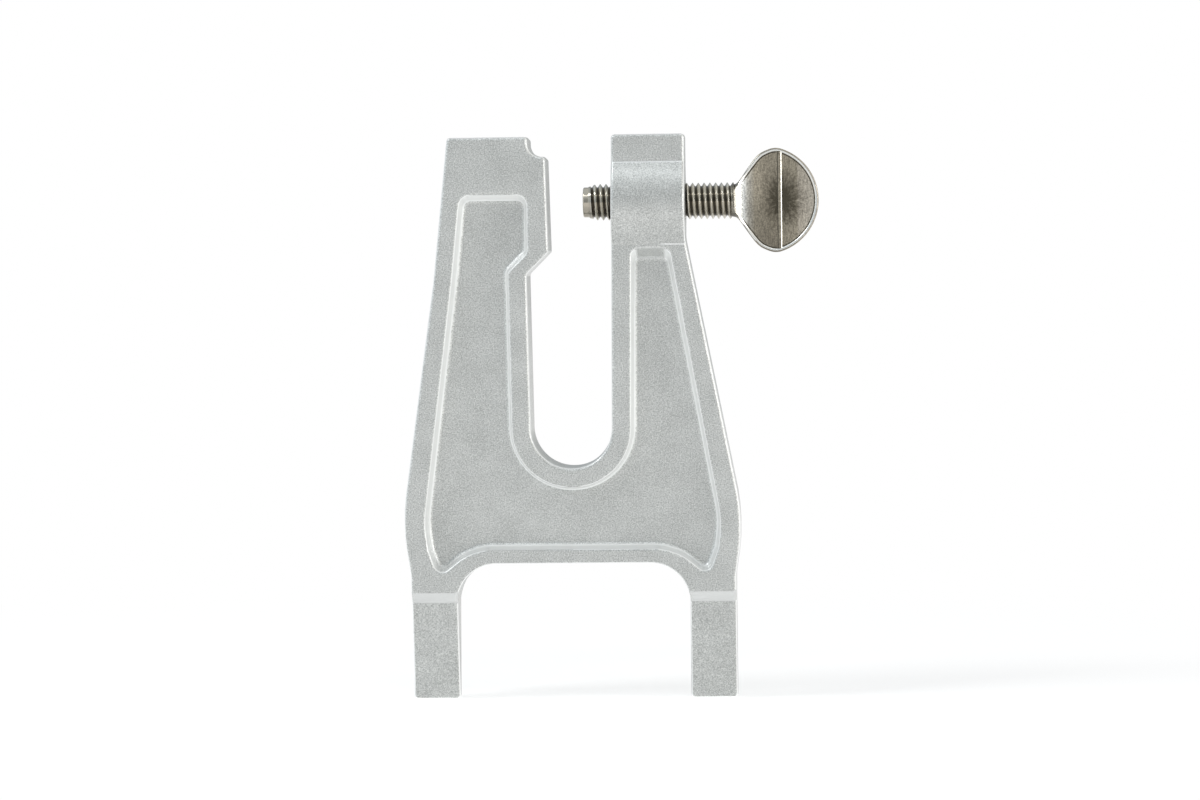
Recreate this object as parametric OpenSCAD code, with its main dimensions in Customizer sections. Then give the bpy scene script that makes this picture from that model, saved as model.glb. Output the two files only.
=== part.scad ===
// Saw vise: a cast frame with two wedge legs that are driven into a stump, a fixed jaw
// on its left arm and a thumb screw through its right arm. The screw presses a saw blade
// or guide bar, standing in the slot, against the jaw.
//
// X runs along the screw, towards its head. Y runs from the front to the back.
// Z runs up from the leg tips. The origin lies between the leg tips.

/* [Frame] */
// Height of the right arm, from the leg tips
frame_h = 122.6; // [110:0.1:140]
// Thickness of the arms, the ribs and the jaw
frame_t = 12.4; // [10:0.1:18]
// Width across the hips, before their corners are rounded
hip_w = 74.2; // [68:0.1:86]
// Height of the hips
hip_z = 39; // [34:0.5:46]
// Radius of the hips
hip_r = 38; // [5:1:45]
// How far the left arm's top stands below the right arm's
left_drop = 0.3; // [0:0.1:2]
// Radius of the sharp corners of the outline
corner_r = 0.8; // [0.2:0.1:1.2]

/* [Legs] */
// Clear width between the legs
leg_gap = 50.3; // [42:0.1:54]
// Width of a leg
leg_w = 10.2; // [8:0.1:12]
// Height of a leg, up to its shoulder
leg_h = 21.5; // [14:0.5:24]
// Height of the sloped shoulder above a leg
shoulder_h = 2.3; // [1:0.1:4]
// Thickness of a leg at its shoulder
leg_root_t = 8.6; // [5:0.1:9.6]
// Thickness of a leg at its tip
leg_tip_t = 2; // [1:0.1:4]
// Height of the arch between the legs
arch_h = 29.9; // [27.5:0.1:32]
// Radius of the arch's corners
arch_r = 8.5; // [4:0.5:12]

/* [Slot] */
// Width of the saw slot at its bottom
slot_w = 17; // [14:0.1:20]
// How much wider the slot is at the jaw than at its bottom
slot_draft = 1.2; // [0.2:0.1:3]
// Height of the slot's bottom
slot_z = 50.8; // [46:0.1:60]

/* [Fixed jaw] */
// How far the jaw stands out from the slot's left wall
jaw_proud = 4.75; // [3:0.05:6]
// Height of the jaw's gripping face
jaw_h = 20.7; // [14:0.1:24]
// How far the face leans back from its foot to its top
jaw_lean = 0.5; // [0:0.1:1.5]
// How far the jaw's top lies below the left arm's top
jaw_drop = 4.3; // [2:0.1:6]
// Radius of the notch above the jaw
notch_r = 3; // [1:0.1:3.4]

/* [Arms] */
// Width of the arm that carries the screw
right_arm_w = 16; // [13:0.1:20]
// How far above the boss's foot that arm's outer side turns towards the hip
right_bend_rise = 0.6; // [0:0.1:4]
// Width of the left arm at its top, measured from the slot's left wall
left_arm_w = 17.2; // [15:0.1:21]
// How far below its top the left arm's outer side bends
left_bend_drop = 31.1; // [24:0.1:36]
// Width of the left arm at that bend, measured from the slot's left wall
left_bend_w = 20.5; // [19:0.1:24]

/* [Pockets] */
// Depth of the pocket in the front and of the one in the back
pocket_d = 3.8; // [2:0.1:4.4]
// Width of the rib round the saw slot
slot_rib_w = 4.2; // [3:0.1:6]
// Width of the rib along the left side
left_rib_w = 4.1; // [3:0.1:6]
// Width of the rib along the right side
right_rib_w = 3.9; // [3:0.1:6]
// Width of both side ribs at the hips
hip_rib_w = 4.9; // [3.5:0.1:6.5]
// Radius of the pocket at the hips
pocket_hip_r = 20; // [5:1:30]
// Width of the rib over the arch
arch_rib_w = 3.2; // [2.5:0.1:5]
// Width of the rib behind the jaw's face
jaw_rib_w = 4.7; // [3.5:0.1:6]
// Height of the solid head of the left arm, above its pocket
left_head_h = 12.5; // [8:0.1:16]
// Radius of the pocket's corners
pocket_r = 2.2; // [1:0.1:3]
// How far outside the leg's inner side the pocket's lowest corners lie
lobe_out = 4.1; // [3:0.1:5.5]

/* [Screw boss] */
// How far the screw's axis lies below the right arm's top
screw_drop = 14.6; // [12:0.1:18]
// How far the boss swells out of the arm's front and back
boss_proud = 3; // [1:0.1:5]
// Height of the boss, where it leaves the arm's faces
boss_h = 17.2; // [14:0.1:20]
// How far the right pocket's top stays below the boss
boss_land = 1.2; // [0.5:0.1:4]

/* [Thumb screw] */
// Outer diameter of the thread
thread_d = 8; // [6:0.5:10]
// Pitch of the thread
thread_pitch = 1.25; // [1:0.05:1.5]
// Depth of the thread
thread_depth = 0.7; // [0.4:0.05:0.9]
// Gap between the screw's tip and the jaw
jaw_gap = 7.5; // [4:0.1:9]
// Length of the plain tip
tip_l = 1.15; // [0.8:0.05:2]
// Width of the chamfer round the tip
tip_chamfer = 0.45; // [0.2:0.05:0.8]
// Distance from the arm's outer face to the screw's head
neck_reach = 10.2; // [9:0.1:14]
// Width of the head, across the screw
head_w = 22.6; // [18:0.1:28]
// Length of the head, along the screw
head_l = 18.5; // [15:0.1:24]
// Thickness of the head
head_t = 3.2; // [2.4:0.1:4.5]
// Length of the slope from the round shank down to the flat head
neck_l = 2.4; // [1.5:0.1:4]
// Length over which the neck widens into the head
flare_l = 3.8; // [2.5:0.1:6]
// Width of the neck at the end of that flare
flare_w = 17.4; // [12:0.1:19]
// Width of the raised rim round the head
rim_w = 0.8; // [0.4:0.1:1.5]
// Height of that rim and of the bar across the head
rim_h = 0.3; // [0.1:0.05:0.6]
// Width of the bar across the head
bar_w = 1.2; // [0.6:0.1:2]
// Gap all round between the thread and its hole
thread_clearance = 0.05; // [0.02:0.01:0.1]

/* [Hidden] */
$fn = 96;

cast_grey = [0.74, 0.76, 0.75];
steel_grey = [0.62, 0.60, 0.56];
past = 1; // how far a cut runs past the face that it opens
corner_step = 12; // degrees between the points of a rounded corner

leg_out = leg_gap / 2 + leg_w;
slot_r = slot_w / 2;
slot_top_r = slot_r + slot_draft / 2; // half the slot's width at the jaw
jaw_foot_x = -slot_top_r + jaw_proud;
jaw_top_x = jaw_foot_x - jaw_lean;
left_top_z = frame_h - left_drop;
jaw_top_z = left_top_z - jaw_drop;
jaw_z = jaw_top_z - jaw_h;
left_bend_z = left_top_z - left_bend_drop;
screw_z = frame_h - screw_drop;
arm_in = slot_top_r;
arm_out = arm_in + right_arm_w;
left_out = slot_top_r + left_arm_w;
left_bend = slot_top_r + left_bend_w;

// The boss is the arc over its own height that swells out by boss_proud
boss_r = (pow(boss_h / 2, 2) + pow(boss_proud, 2)) / (2 * boss_proud);
boss_t = frame_t + 2 * boss_proud;
boss_foot_z = screw_z - boss_h / 2;
right_bend_z = boss_foot_z + right_bend_rise;

thread_r = thread_d / 2 - thread_clearance;
root_r = thread_r - thread_depth;
jaw_x_at_screw = jaw_foot_x - jaw_lean * (screw_z - jaw_z) / jaw_h;
tip_x = jaw_x_at_screw + jaw_gap;
shank_x = tip_x + tip_l;
neck_x = arm_out + neck_reach;
head_x = neck_x + head_l; // the head's far end
head_r = (pow(head_l / 2, 2) + pow(head_w / 2, 2)) / head_l; // of its two round sides
head_mid_x = neck_x + head_l / 2; // its widest place
thread_turns = floor((neck_x - shank_x) / thread_pitch);
crest_w = thread_pitch / 8; // width of a ridge's flat crest
ridge_w = thread_pitch * 3 / 4; // width of a ridge at its root

function unit(v) = v / norm(v);
function place(corner) = [corner[0], corner[1]];
function along(from, to, z) = from[0] + (to[0] - from[0]) * (z - from[1]) / (to[1] - from[1]);

// The points of a closed outline whose corners are [x, z, radius]
function rounded(corners) = [
    for (i = [0 : len(corners) - 1])
        let (
            count = len(corners),
            here = place(corners[i]),
            radius = corners[i][2],
            back = unit(place(corners[(i + count - 1) % count]) - here),
            ahead = unit(place(corners[(i + 1) % count]) - here),
            half = acos(back * ahead) / 2,
            centre = here + unit(back + ahead) * radius / sin(half),
            start = here + back * radius / tan(half) - centre,
            first = atan2(start[1], start[0]),
            sweep = (180 - 2 * half) * sign(cross(-back, ahead)),
            steps = max(1, ceil(abs(sweep) / corner_step))
        )
        for (s = [0 : steps])
            centre + radius * [cos(first + sweep * s / steps), sin(first + sweep * s / steps)]
];

// The outer silhouette, anticlockwise from the right leg's inner corner
left_hip = [-hip_w / 2, hip_z];
right_hip = [hip_w / 2, hip_z];
hip_foot_z = arch_h - shoulder_h; // where the sides start to swell towards the hips
silhouette = [
    [leg_gap / 2, 0, corner_r],
    [leg_out, 0, corner_r],
    [leg_out, hip_foot_z, corner_r],
    [right_hip[0], right_hip[1], hip_r],
    [arm_out, right_bend_z, corner_r],
    [arm_out, frame_h, corner_r],
    [arm_in, frame_h, corner_r],
    [slot_r, slot_z, slot_r],
    [-slot_r, slot_z, slot_r],
    [-slot_top_r, jaw_z - jaw_proud, corner_r],
    [jaw_foot_x, jaw_z, corner_r],
    [jaw_top_x, jaw_top_z, corner_r],
    [jaw_top_x - notch_r - corner_r, jaw_top_z, notch_r],
    [jaw_top_x - notch_r - corner_r, left_top_z, corner_r / 2],
    [-left_out, left_top_z, corner_r],
    [-left_bend, left_bend_z, corner_r],
    [left_hip[0], left_hip[1], hip_r],
    [-leg_out, hip_foot_z, corner_r],
    [-leg_out, 0, corner_r],
    [-leg_gap / 2, 0, corner_r],
    [-leg_gap / 2, arch_h, arch_r],
    [leg_gap / 2, arch_h, arch_r]
];

// The pocket's outline: one recess that runs round the foot of the saw slot
pocket_top_left = left_top_z - left_head_h;
pocket_top_right = boss_foot_z - boss_land;
pocket_foot = arch_h + arch_rib_w; // its lower edge, over the arch
lobe_x = leg_gap / 2 + lobe_out; // its two lowest corners, above the legs
lobe_z = leg_h + shoulder_h + arch_rib_w;
arch_turn_x = leg_gap / 2 - arch_rib_w; // where its lower edge turns down beside the arch
rib_out = slot_r + slot_rib_w;
rib_top_out = slot_top_r + slot_rib_w;
jaw_back_x = jaw_foot_x - jaw_rib_w;
left_top_in = along([-left_out, left_top_z], [-left_bend, left_bend_z], pocket_top_left)
    + left_rib_w;
right_top_in = along([arm_out, right_bend_z], right_hip, pocket_top_right) - right_rib_w;
pocket = [
    [left_top_in, pocket_top_left, pocket_r],
    [-left_bend + left_rib_w, left_bend_z, pocket_r],
    [left_hip[0] + hip_rib_w, left_hip[1], pocket_hip_r],
    [-leg_out + right_rib_w, pocket_foot, pocket_r],
    [-lobe_x, lobe_z, pocket_r / 2],
    [-arch_turn_x, pocket_foot, arch_r + arch_rib_w],
    [arch_turn_x, pocket_foot, arch_r + arch_rib_w],
    [lobe_x, lobe_z, pocket_r / 2],
    [leg_out - right_rib_w, pocket_foot, pocket_r],
    [right_hip[0] - hip_rib_w, right_hip[1], pocket_hip_r],
    [right_top_in, pocket_top_right, pocket_r],
    [rib_top_out, pocket_top_right, pocket_r],
    [rib_out, slot_z - slot_rib_w, rib_out],
    [-rib_out, slot_z - slot_rib_w, rib_out],
    [-rib_top_out, jaw_z - (rib_top_out + jaw_back_x), pocket_r / 2],
    [jaw_back_x, jaw_z, pocket_r / 2],
    [jaw_back_x, pocket_top_left, pocket_r]
];

// A flat shape in X and Z, made into a plate of thickness t about the middle plane
module plate(t) {
    rotate([90, 0, 0]) linear_extrude(height = t, center = true) children();
}

// The frame from the side: full thickness down to the shoulders, then the wedge legs
module side_profile() {
    half = frame_t / 2;
    rotate([90, 0, 90])
        linear_extrude(height = 2 * hip_w, center = true)
            polygon([
                [-leg_tip_t / 2, 0], [leg_tip_t / 2, 0],
                [leg_root_t / 2, leg_h], [half, leg_h + shoulder_h],
                [half, frame_h], [-half, frame_h],
                [-half, leg_h + shoulder_h], [-leg_root_t / 2, leg_h]
            ]);
}

module boss() {
    intersection() {
        plate(boss_t) polygon(rounded(silhouette));
        intersection_for (side = [-1, 1])
            translate([0, side * (boss_r - boss_t / 2), screw_z])
                rotate([0, 90, 0]) cylinder(r = boss_r, h = arm_out);
    }
}

module vise_frame() {
    color(cast_grey)
        difference() {
            union() {
                intersection() {
                    plate(frame_t) polygon(rounded(silhouette));
                    side_profile();
                }
                boss();
            }
            for (side = [-1, 1])
                translate([0, side * (frame_t / 2 - pocket_d / 2 + past / 2), 0])
                    plate(pocket_d + past) polygon(rounded(pocket));
            translate([arm_in - past, 0, screw_z])
                rotate([0, 90, 0]) cylinder(r = thread_d / 2, h = right_arm_w + 2 * past);
        }
}

// Turns a profile drawn as [radius, distance along the screw] into a solid on its axis
module on_screw_axis() {
    translate([0, 0, screw_z]) rotate([0, 90, 0]) rotate_extrude() children();
}

// The plain end of the screw that bears on the blade
module screw_tip() {
    color(steel_grey)
        on_screw_axis()
            polygon([
                [0, tip_x], [root_r - tip_chamfer, tip_x], [root_r, tip_x + tip_chamfer],
                [root_r, shank_x], [0, shank_x]
            ]);
}

// The threaded shank, its ridges drawn as rings
module shank() {
    on_screw_axis()
        polygon(concat(
            [[0, shank_x], [root_r, shank_x]],
            [for (i = [0 : thread_turns - 1])
                let (x = shank_x + (i + 0.5) * thread_pitch)
                each [
                    [root_r, x - ridge_w / 2], [thread_r, x - crest_w / 2],
                    [thread_r, x + crest_w / 2], [root_r, x + ridge_w / 2]
                ]],
            [[root_r, neck_x], [thread_r, neck_x], [thread_r, neck_x + neck_l / 2],
             [0, neck_x + neck_l / 2]]
        ));
}

// The head's outline is where two circles cross, inset by a margin
module head_outline(margin) {
    intersection_for (centre_x = [head_x - head_r, neck_x + head_r])
        translate([centre_x, screw_z]) circle(r = head_r - margin);
}

module head() {
    flare_x = neck_x + flare_l;
    difference() {
        intersection() {
            plate(thread_d) union() {
                head_outline(0);
                polygon([
                    [neck_x, screw_z - thread_r], [flare_x, screw_z - flare_w / 2],
                    [flare_x, screw_z + flare_w / 2], [neck_x, screw_z + thread_r]
                ]);
            }
            translate([0, 0, screw_z - head_w])
                linear_extrude(height = 2 * head_w)
                    polygon([
                        [neck_x, -root_r], [neck_x + neck_l, -head_t / 2],
                        [head_x + past, -head_t / 2], [head_x + past, head_t / 2],
                        [neck_x + neck_l, head_t / 2], [neck_x, root_r]
                    ]);
        }
        for (side = [-1, 1])
            translate([0, side * (head_t / 2 - rim_h / 2 + past / 2), 0])
                plate(rim_h + past) difference() {
                    head_outline(rim_w);
                    translate([head_mid_x - bar_w / 2, screw_z - head_w])
                        square([bar_w, 2 * head_w]);
                    translate([0, screw_z - head_w]) square([neck_x + neck_l, 2 * head_w]);
                }
    }
}

// The screw from its first thread to its head
module thumb_screw() {
    color(steel_grey) {
        shank();
        head();
    }
}

vise_frame();
screw_tip();
thumb_screw();
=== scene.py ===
# %% [markdown]
# # A saw vise, dressed part by part
# The vise holds a saw upright while its teeth are filed. Its two legs are hammered into a
# stump, the blade stands in the slot, and a thumb screw presses it against the fixed jaw.
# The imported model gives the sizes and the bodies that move: the cast frame, the screw and the
# screw's plain tip. This lesson models the looks of each one again with Blender's own tools.
#
# We load the model first. It gives every body, node and joint in metres, with +Z up, the
# front towards -Y, and the screw's head towards +X.

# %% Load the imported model
import math

import bmesh
import bpy
from mathutils import Matrix, Vector


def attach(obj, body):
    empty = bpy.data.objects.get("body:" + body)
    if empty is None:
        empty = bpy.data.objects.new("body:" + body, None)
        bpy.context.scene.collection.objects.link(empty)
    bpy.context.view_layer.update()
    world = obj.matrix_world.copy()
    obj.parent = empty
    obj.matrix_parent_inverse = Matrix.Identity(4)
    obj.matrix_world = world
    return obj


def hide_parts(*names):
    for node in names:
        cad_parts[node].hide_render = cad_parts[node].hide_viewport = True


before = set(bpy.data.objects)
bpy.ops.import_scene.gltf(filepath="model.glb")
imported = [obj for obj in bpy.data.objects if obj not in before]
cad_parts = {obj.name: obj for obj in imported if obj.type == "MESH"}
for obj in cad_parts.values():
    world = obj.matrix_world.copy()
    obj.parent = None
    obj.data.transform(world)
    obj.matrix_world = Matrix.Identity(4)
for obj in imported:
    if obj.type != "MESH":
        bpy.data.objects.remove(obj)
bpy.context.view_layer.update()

MM = 0.001

# %% [markdown]
# ## The camera
# A long lens from a little way off keeps the legs and arms parallel, as in a catalogue
# picture. The camera stands a touch to the right and a touch above, so that the walls which
# face right and up just show. A small roll lets the frame lean by less than a degree.

# %% Set up the camera
AIM = Vector((5.95, 0, 65.1)) * MM
AZIMUTH = math.radians(3.0)
ELEVATION = math.radians(2.5)
ROLL = math.radians(-0.7)
DISTANCE = 724.6 * MM
LENS = 100
SENSOR = 36

sight = Vector((
    math.sin(AZIMUTH) * math.cos(ELEVATION),
    -math.cos(AZIMUTH) * math.cos(ELEVATION),
    math.sin(ELEVATION),
))
turn = (-sight).to_track_quat("-Z", "Y") @ Matrix.Rotation(ROLL, 3, "Z").to_quaternion()
bpy.ops.object.camera_add(location=AIM + sight * DISTANCE, rotation=turn.to_euler())
camera = bpy.context.object
camera.name = "catalogue_camera"
camera.data.lens = LENS
camera.data.sensor_width = SENSOR
bpy.context.scene.camera = camera
bpy.context.scene.view_settings.view_transform = "Standard"
print("camera at", [round(value / MM, 1) for value in camera.location], "mm")

# %% [markdown]
# ## Helpers for shader nodes
# The light and the metals are painted with shader nodes. By hand one adds a node, types in
# its values and draws its links. A helper does the three in one call, and the kinds of node
# that are used most get a helper of their own.

# %% Helpers: add and link shader nodes
def empty_tree(owner):
    """Switch on the nodes of a world or a material, and clear the ones it starts with."""
    owner.use_nodes = True
    owner.node_tree.nodes.clear()
    return owner.node_tree


def add_node(tree, kind, settings=None, **inputs):
    """Add a shader node; settings go on the node, inputs on its sockets by name or _number."""
    node = tree.nodes.new(kind)
    for name, value in (settings or {}).items():
        setattr(node, name, value)
    for name, value in inputs.items():
        socket = node.inputs[int(name[1:]) if name[0] == "_" else name.replace("_", " ")]
        if isinstance(value, bpy.types.NodeSocket):
            tree.links.new(value, socket)
        else:
            socket.default_value = value
    return node


def fade(tree, value, start, end, before=0.0, after=1.0, curve="SMOOTHSTEP"):
    """Go from one level to another while the value goes from start to end."""
    return add_node(
        tree, "ShaderNodeMapRange", {"interpolation_type": curve},
        Value=value, From_Min=start, From_Max=end, To_Min=before, To_Max=after,
    ).outputs["Result"]


def count_up(tree, operation, *values):
    """Join numbers with a Math node."""
    inputs = {f"_{place}": value for place, value in enumerate(values)}
    return add_node(tree, "ShaderNodeMath", {"operation": operation}, **inputs).outputs[0]


def move(tree, operation, *values):
    """Join vectors with a Vector Math node; a length or a dot product comes as a number."""
    inputs = {f"_{place}": value for place, value in enumerate(values)}
    node = add_node(tree, "ShaderNodeVectorMath", {"operation": operation}, **inputs)
    return node.outputs["Value" if operation in ("LENGTH", "DOT_PRODUCT") else "Vector"]


def mix(tree, share, one, other):
    """Mix two numbers: a share of 0 is the first, 1 the other."""
    return add_node(tree, "ShaderNodeMix", _0=share, _2=one, _3=other).outputs[0]


def blend(tree, share, one, other):
    """Blend two colours: a share of 0 is the first, 1 the other."""
    return add_node(
        tree, "ShaderNodeMix", {"data_type": "RGBA"}, Factor=share, _6=one, _7=other,
    ).outputs[2]


# %% [markdown]
# ## Light and background
# Polished metal shows what stands round it, so the studio is a light tent: white on all
# sides, brighter at the right and dimmer behind, with a grey mouth in front, where the camera
# looks in. Sheets of cloth could be modelled for it, but the world can paint the tent by
# direction, with nothing in the way of a view from the side. What shines mirrors the tent's
# walls, and what is matt gets a softer fill, so that the forms keep their shading. Rays from
# the camera see plain white, so that the picture has a white ground.

# %% Paint the tent into the world
TENT_LEFT = 0.85
TENT_RIGHT = 1.06
TENT_MOUTH = 0.53
TENT_BACK = 0.55
TENT_ROOF = 0.6
FILL_LEFT = 0.36
FILL_RIGHT = 0.74
COOL_WHITE = (0.86, 0.94, 1.0, 1)
WARM_WHITE = (1.0, 0.99, 0.96, 1)
PLAIN_WHITE = (1, 1, 1, 1)

world = bpy.data.worlds.new("light_tent")
bpy.context.scene.world = world
tree = empty_tree(world)
direction = add_node(tree, "ShaderNodeTexCoord").outputs["Generated"]
toward = add_node(tree, "ShaderNodeSeparateXYZ", Vector=direction).outputs
# Along each axis a direction goes from -1 to 1, and a wall fades over a stretch of that.
side = fade(tree, toward["X"], -0.7, 0.9)
mouth = fade(tree, toward["Y"], -0.97, -0.70, TENT_MOUTH, 1)
back = fade(tree, toward["Y"], 0.45, 0.95, 1, TENT_BACK)
roof = fade(tree, toward["Z"], 0.1, 0.8, 1, TENT_ROOF)
opened = count_up(tree, "MULTIPLY", mix(tree, side, TENT_LEFT, TENT_RIGHT), mouth)
gloss = count_up(tree, "MULTIPLY", opened, back)
matt = count_up(tree, "MULTIPLY", mix(tree, side, FILL_LEFT, FILL_RIGHT), roof)
path = add_node(tree, "ShaderNodeLightPath").outputs
seen = count_up(tree, "MAXIMUM", path["Is Camera Ray"], path["Is Transmission Ray"])
level = mix(tree, seen, mix(tree, path["Is Glossy Ray"], matt, gloss), 1.0)
tint = blend(tree, seen, blend(tree, side, COOL_WHITE, WARM_WHITE), PLAIN_WHITE)
tent = add_node(tree, "ShaderNodeBackground", Color=tint, Strength=level)
add_node(tree, "ShaderNodeOutputWorld", Surface=tent.outputs[0])
print("tent: left", TENT_LEFT, "right", TENT_RIGHT, "mouth", TENT_MOUTH, "back", TENT_BACK)

# %% [markdown]
# ## Soft lamps
# Four area lamps stand outside the picture, and each faces the part's middle. The key lamp at
# the right and a small one high at the left draw the bright lines along the rounded edges. A
# strip above brings out the boss's upper slope, and a weak lamp fills the left. Point lamps
# would leave small hard spots on the metal, and large areas leave soft ones.

# %% Hang the soft lamps
PART_MIDDLE = Vector((0.008, 0, 0.065))


def hang_lamp(name, place, size, power, colour):
    """Hang a soft lamp that faces the part's middle; place and size are in metres."""
    facing = (PART_MIDDLE - Vector(place)).to_track_quat("-Z", "Y").to_euler()
    bpy.ops.object.light_add(type="AREA", location=place, rotation=facing)
    lamp = bpy.context.object
    lamp.name = name
    lamp.data.shape = "RECTANGLE"
    lamp.data.size, lamp.data.size_y = size
    lamp.data.energy = power
    lamp.data.color = colour
    print(name, power, "W at", place)


hang_lamp("key_right", (1.35, -0.50, 0.22), (0.45, 0.60), 4.5, (1.0, 0.99, 0.97))
hang_lamp("upper_left", (-0.92, -0.38, 1.05), (0.35, 0.35), 4.0, (0.98, 0.99, 1.0))
hang_lamp("soft_above", (0.10, -0.82, 1.22), (1.20, 0.16), 1.3, (0.95, 0.97, 1.0))
hang_lamp("fill_left", (-1.30, -0.75, 0.40), (0.80, 1.00), 0.8, (0.90, 0.95, 1.0))

# %% [markdown]
# ## A floor of white paper
# The vise stands on white paper. Near the part the paper is matt and takes a faint shadow.
# Further out it goes over into plain white, so that no horizon shows. The paper lights the
# part from below, but it is mirrored at a lower level, which keeps the legs from fading out.

# %% Lay the floor
FLOOR_SIZE = 6.0
PAPER = (0.82, 0.82, 0.82, 1)
PAPER_LIFT = 0.56
TABLE_GLOW = 0.71
MIRRORED_LIFT = 0.25
SHADOW_REACH = 0.05
PLAIN_BEYOND = 0.26
bpy.ops.mesh.primitive_plane_add(size=FLOOR_SIZE, location=(0, 0, 0))
floor = bpy.context.object
floor.name = "floor"
white_paper = bpy.data.materials.new("white_paper")
tree = empty_tree(white_paper)
path = add_node(tree, "ShaderNodeLightPath").outputs
unseen = mix(tree, path["Is Glossy Ray"], TABLE_GLOW, MIRRORED_LIFT)
lift = mix(tree, path["Is Camera Ray"], unseen, PAPER_LIFT)
matt = add_node(tree, "ShaderNodeBsdfDiffuse", Color=PAPER)
glow = add_node(tree, "ShaderNodeEmission", Color=PLAIN_WHITE, Strength=lift)
near_paper = add_node(tree, "ShaderNodeAddShader", _0=matt.outputs[0], _1=glow.outputs[0])
far_paper = add_node(tree, "ShaderNodeEmission", Color=PLAIN_WHITE, Strength=1.0)
distance = move(tree, "LENGTH", add_node(tree, "ShaderNodeTexCoord").outputs["Object"])
seen = count_up(tree, "MAXIMUM", path["Is Camera Ray"], path["Is Glossy Ray"])
share = count_up(tree, "MULTIPLY", fade(tree, distance, SHADOW_REACH, PLAIN_BEYOND), seen)
sheet = add_node(
    tree, "ShaderNodeMixShader", _0=share, _1=near_paper.outputs[0], _2=far_paper.outputs[0],
)
add_node(tree, "ShaderNodeOutputMaterial", Surface=sheet.outputs[0])
floor.data.materials.append(white_paper)
print("floor", FLOOR_SIZE, "m across, plain white beyond", PLAIN_BEYOND, "m")

# %% [markdown]
# ## Helpers for modelling in edit mode
# An operator acts on all that is selected, so each step picks its vertices, edges or faces
# by their place or their normal first. The helpers below do what the hand does on screen:
# take up one object, pick, and put the object down again.

# %% Helpers: take up, pick, put down
TINY = 1e-6
WELD = 0.002 * MM


def clear_selection():
    """Leave edit mode and deselect every object."""
    if bpy.context.mode != "OBJECT":
        bpy.ops.object.mode_set(mode="OBJECT")
    bpy.ops.object.select_all(action="DESELECT")


def hold(piece):
    """Make the piece the one object that is selected and active."""
    clear_selection()
    piece.select_set(True)
    bpy.context.view_layer.objects.active = piece


def take_up(piece):
    """Hold the piece and open it in edit mode, with nothing selected."""
    hold(piece)
    bpy.ops.object.mode_set(mode="EDIT")
    bpy.ops.mesh.select_mode(type="VERT")
    bpy.ops.mesh.select_all(action="DESELECT")


def pick(piece, kind, wanted):
    """Select the VERT, EDGE or FACE elements for which wanted(element) holds; count them."""
    bpy.ops.mesh.select_mode(type=kind)
    bpy.ops.mesh.select_all(action="DESELECT")
    mesh = bmesh.from_edit_mesh(piece.data)
    mesh.normal_update()
    elements = {"VERT": mesh.verts, "EDGE": mesh.edges, "FACE": mesh.faces}[kind]
    count = 0
    for element in elements:
        if wanted(element):
            element.select_set(True)
            count += 1
    bmesh.update_edit_mesh(piece.data)
    return count


def weld(distance):
    """Select all of the open piece, and merge vertices closer than a distance in metres."""
    bpy.ops.mesh.select_all(action="SELECT")
    bpy.ops.mesh.remove_doubles(threshold=distance)


def face_outwards():
    """Select all of the open piece, and turn its faces outwards."""
    bpy.ops.mesh.select_all(action="SELECT")
    bpy.ops.mesh.normals_make_consistent(inside=False)


def place_at_origin(piece):
    """Put the piece's own origin at the world's, with its place kept in the mesh."""
    hold(piece)
    bpy.ops.object.transform_apply(location=True, rotation=True, scale=True)


def describe(piece):
    """Print how large a piece is and how many faces it has."""
    corners = [vertex.co for vertex in piece.data.vertices]
    low = [round(min(corner[axis] for corner in corners) / MM, 2) for axis in range(3)]
    high = [round(max(corner[axis] for corner in corners) / MM, 2) for axis in range(3)]
    print(piece.name, "from", low, "to", high, "mm,", len(piece.data.polygons), "faces")


# %% [markdown]
# ## Outlines with rounded corners
# The frame is cast between two halves of a mould, so it is one flat outline with a depth. An
# outline is drawn the way a hand draws it: one vertex, extruded from corner to corner and
# filled. Then each corner is rounded by a bevel of its vertex alone. A bevel is measured
# along the edges, so a corner of radius r is cut back by r / tan(half its angle). Each
# rounded corner gets an edge for every few degrees that it turns, more on a large radius.

# %% Helpers: draw an outline and round its corners
ROUND_PROFILE = 0.5
SMALL_R = 3
SMALL_R_TURN = 10
LARGE_R_TURN = 4.5


def draw_line(name, places):
    """Draw a line through the places: one vertex, extruded from each place to the next."""
    clear_selection()
    bpy.ops.mesh.primitive_plane_add(size=MM, location=places[0])
    piece = bpy.context.object
    piece.name = name
    place_at_origin(piece)
    take_up(piece)
    bpy.ops.mesh.select_all(action="SELECT")
    bpy.ops.mesh.merge(type="CENTER")
    for before, after in zip(places, places[1:]):
        bpy.ops.mesh.extrude_region_move(TRANSFORM_OT_translate={"value": after - before})
    return piece


def find_places(corners, depth):
    """Give the places of [x, z, radius] corners, in mm, at the depth y."""
    return [Vector((x, depth, z)) * MM for x, z, _ in corners]


def face_front(piece):
    """Turn the outline's one face so that it looks to the front, towards -Y."""
    if pick(piece, "FACE", lambda face: face.normal.y > 0):
        bpy.ops.mesh.flip_normals()


def draw_outline(name, corners, depth):
    """Draw [x, z, radius] corners, in mm, as one filled face at the depth y, facing front."""
    places = find_places(corners, depth)
    piece = draw_line(name, places)
    ends = (places[0], places[-1])
    pick(piece, "VERT", lambda v: any((v.co - end).length < TINY for end in ends))
    bpy.ops.mesh.edge_face_add()
    bpy.ops.mesh.select_all(action="SELECT")
    bpy.ops.mesh.edge_face_add()
    face_front(piece)
    return piece


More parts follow.
